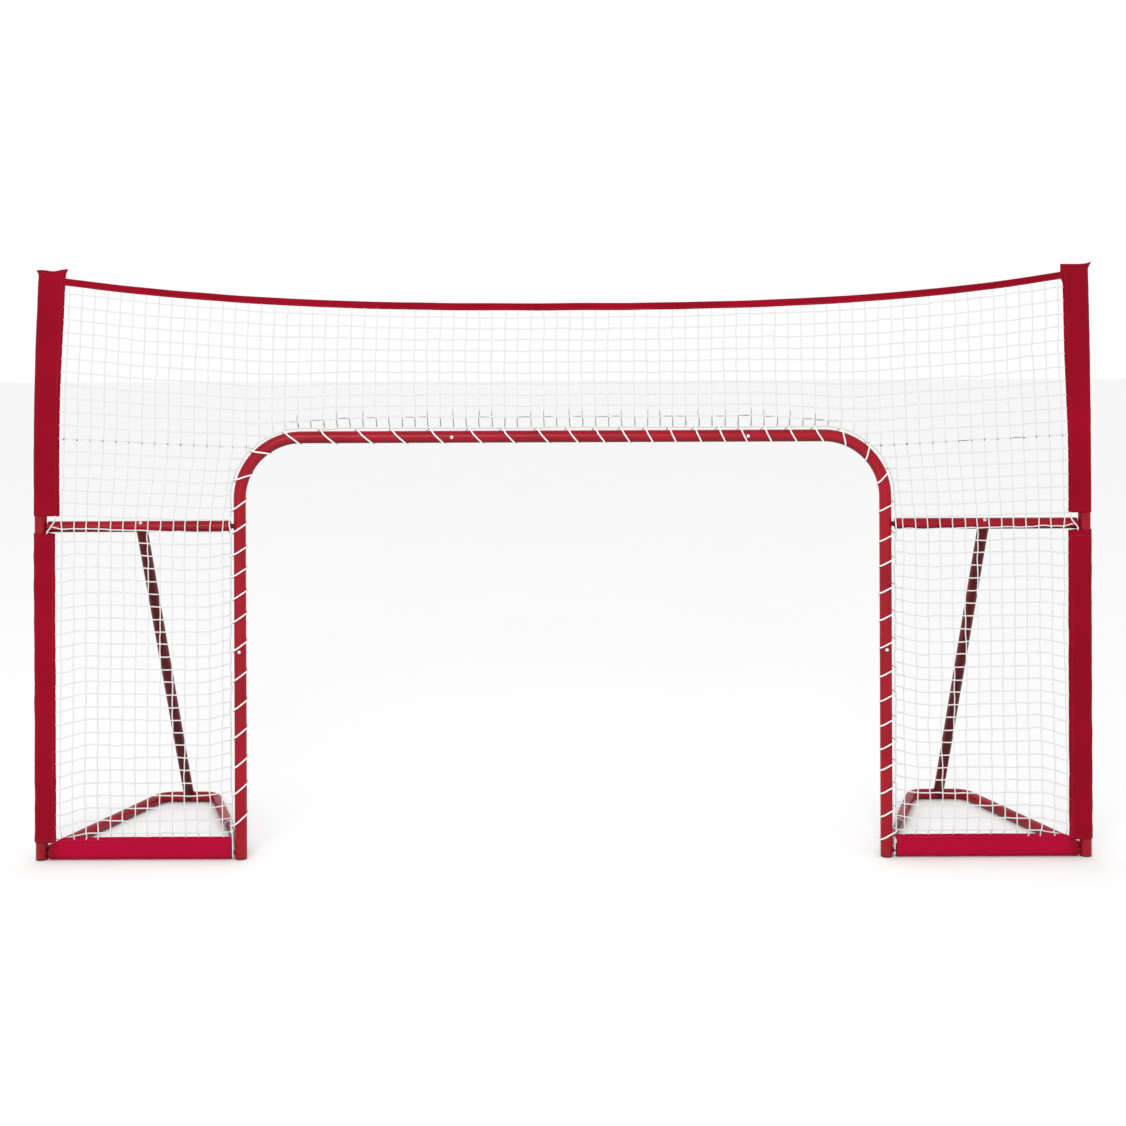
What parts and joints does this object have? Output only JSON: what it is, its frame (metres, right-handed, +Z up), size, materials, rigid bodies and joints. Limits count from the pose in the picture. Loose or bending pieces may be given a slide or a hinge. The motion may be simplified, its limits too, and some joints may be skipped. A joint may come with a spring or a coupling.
{
  "type": "hockey goal backstop",
  "caption": "Arched steel-tube hockey goal mouth set in a backstop net, with fabric-sleeved posts, net wings and triangular floor frames.",
  "frame": {"origin": "on the floor, in the middle of the goal's bounding box", "axes": "+X to the goal's right as the shooter in front sees it, +Y to the back, +Z up"},
  "size_m": [3.0514, 0.6505, 1.7031],
  "materials": {
    "red_paint": "glossy brick-red powder coat on steel tube",
    "dark_paint": "dark red powder coat on steel tube",
    "crimson_fabric": "matt woven polyester",
    "white_net": "knotted white twine with a square mesh of 38 mm",
    "white_cord": "white braided cord",
    "zinc_steel": "zinc-plated steel",
    "black_plastic": "moulded plastic, near-black maroon"
  },
  "bodies": {
    "frame": {"arch_post_left": "red_paint", "arch_post_right": "red_paint", "arch_corner_left": "red_paint", "arch_corner_right": "red_paint", "arch_top_bar": "red_paint", "arch_foot_left": "black_plastic", "arch_foot_right": "black_plastic", "button_spring_post_left": "zinc_steel", "button_spring_post_right": "zinc_steel", "button_spring_top_left": "zinc_steel", "button_spring_top_right": "zinc_steel", "outer_post_lower_left": "red_paint", "outer_post_lower_right": "red_paint", "outer_post_upper_left": "red_paint", "outer_post_upper_right": "red_paint", "outer_foot_left": "black_plastic", "outer_foot_right": "black_plastic", "outer_top_cap_left": "black_plastic", "outer_top_cap_right": "black_plastic", "side_rail_left": "red_paint", "side_rail_right": "red_paint", "bottom_rail_left": "red_paint", "bottom_rail_right": "red_paint", "rail_pegs_left": "dark_paint", "rail_pegs_right": "dark_paint", "base_back_left": "red_paint", "base_back_right": "red_paint", "base_leg_outer_left": "red_paint", "base_leg_outer_right": "red_paint", "base_leg_inner_left": "red_paint", "base_leg_inner_right": "red_paint", "base_stub_left": "dark_paint", "base_stub_right": "dark_paint", "leg_bush_left": "zinc_steel", "leg_bush_right": "zinc_steel", "brace_left": "dark_paint", "brace_right": "dark_paint", "brace_plug_left": "black_plastic", "brace_plug_right": "black_plastic", "brace_screws": "zinc_steel", "upper_sleeve_left": "crimson_fabric", "upper_sleeve_right": "crimson_fabric", "lower_sleeve_left": "crimson_fabric", "lower_sleeve_right": "crimson_fabric", "bottom_sleeve_left": "crimson_fabric", "bottom_sleeve_right": "crimson_fabric", "top_strap": "crimson_fabric", "net_side_left": "white_net", "net_side_right": "white_net", "net_top": "white_net", "net_seam_cords": "white_cord", "arch_lacing": "white_cord"},
    "button_post_left": {"snap_button_post_left": "zinc_steel"},
    "button_post_right": {"snap_button_post_right": "zinc_steel"},
    "button_top_left": {"snap_button_top_left": "zinc_steel"},
    "button_top_right": {"snap_button_top_right": "zinc_steel"}
  },
  "joints": [
    {"name": "button_post_left_press", "type": "slide", "parent": "frame", "child": "button_post_left", "axis": [0, 1, 0], "range_m": [0, 0.0065], "stiffness_N_per_m": 800, "springref_m": -0.003, "deforming": ["button_spring_post_left"]},
    {"name": "button_post_right_press", "type": "slide", "parent": "frame", "child": "button_post_right", "axis": [0, 1, 0], "range_m": [0, 0.0065], "stiffness_N_per_m": 800, "springref_m": -0.003, "deforming": ["button_spring_post_right"]},
    {"name": "button_top_left_press", "type": "slide", "parent": "frame", "child": "button_top_left", "axis": [0, 1, 0], "range_m": [0, 0.0065], "stiffness_N_per_m": 800, "springref_m": -0.003, "deforming": ["button_spring_top_left"]},
    {"name": "button_top_right_press", "type": "slide", "parent": "frame", "child": "button_top_right", "axis": [0, 1, 0], "range_m": [0, 0.0065], "stiffness_N_per_m": 800, "springref_m": -0.003, "deforming": ["button_spring_top_right"]}
  ]
}
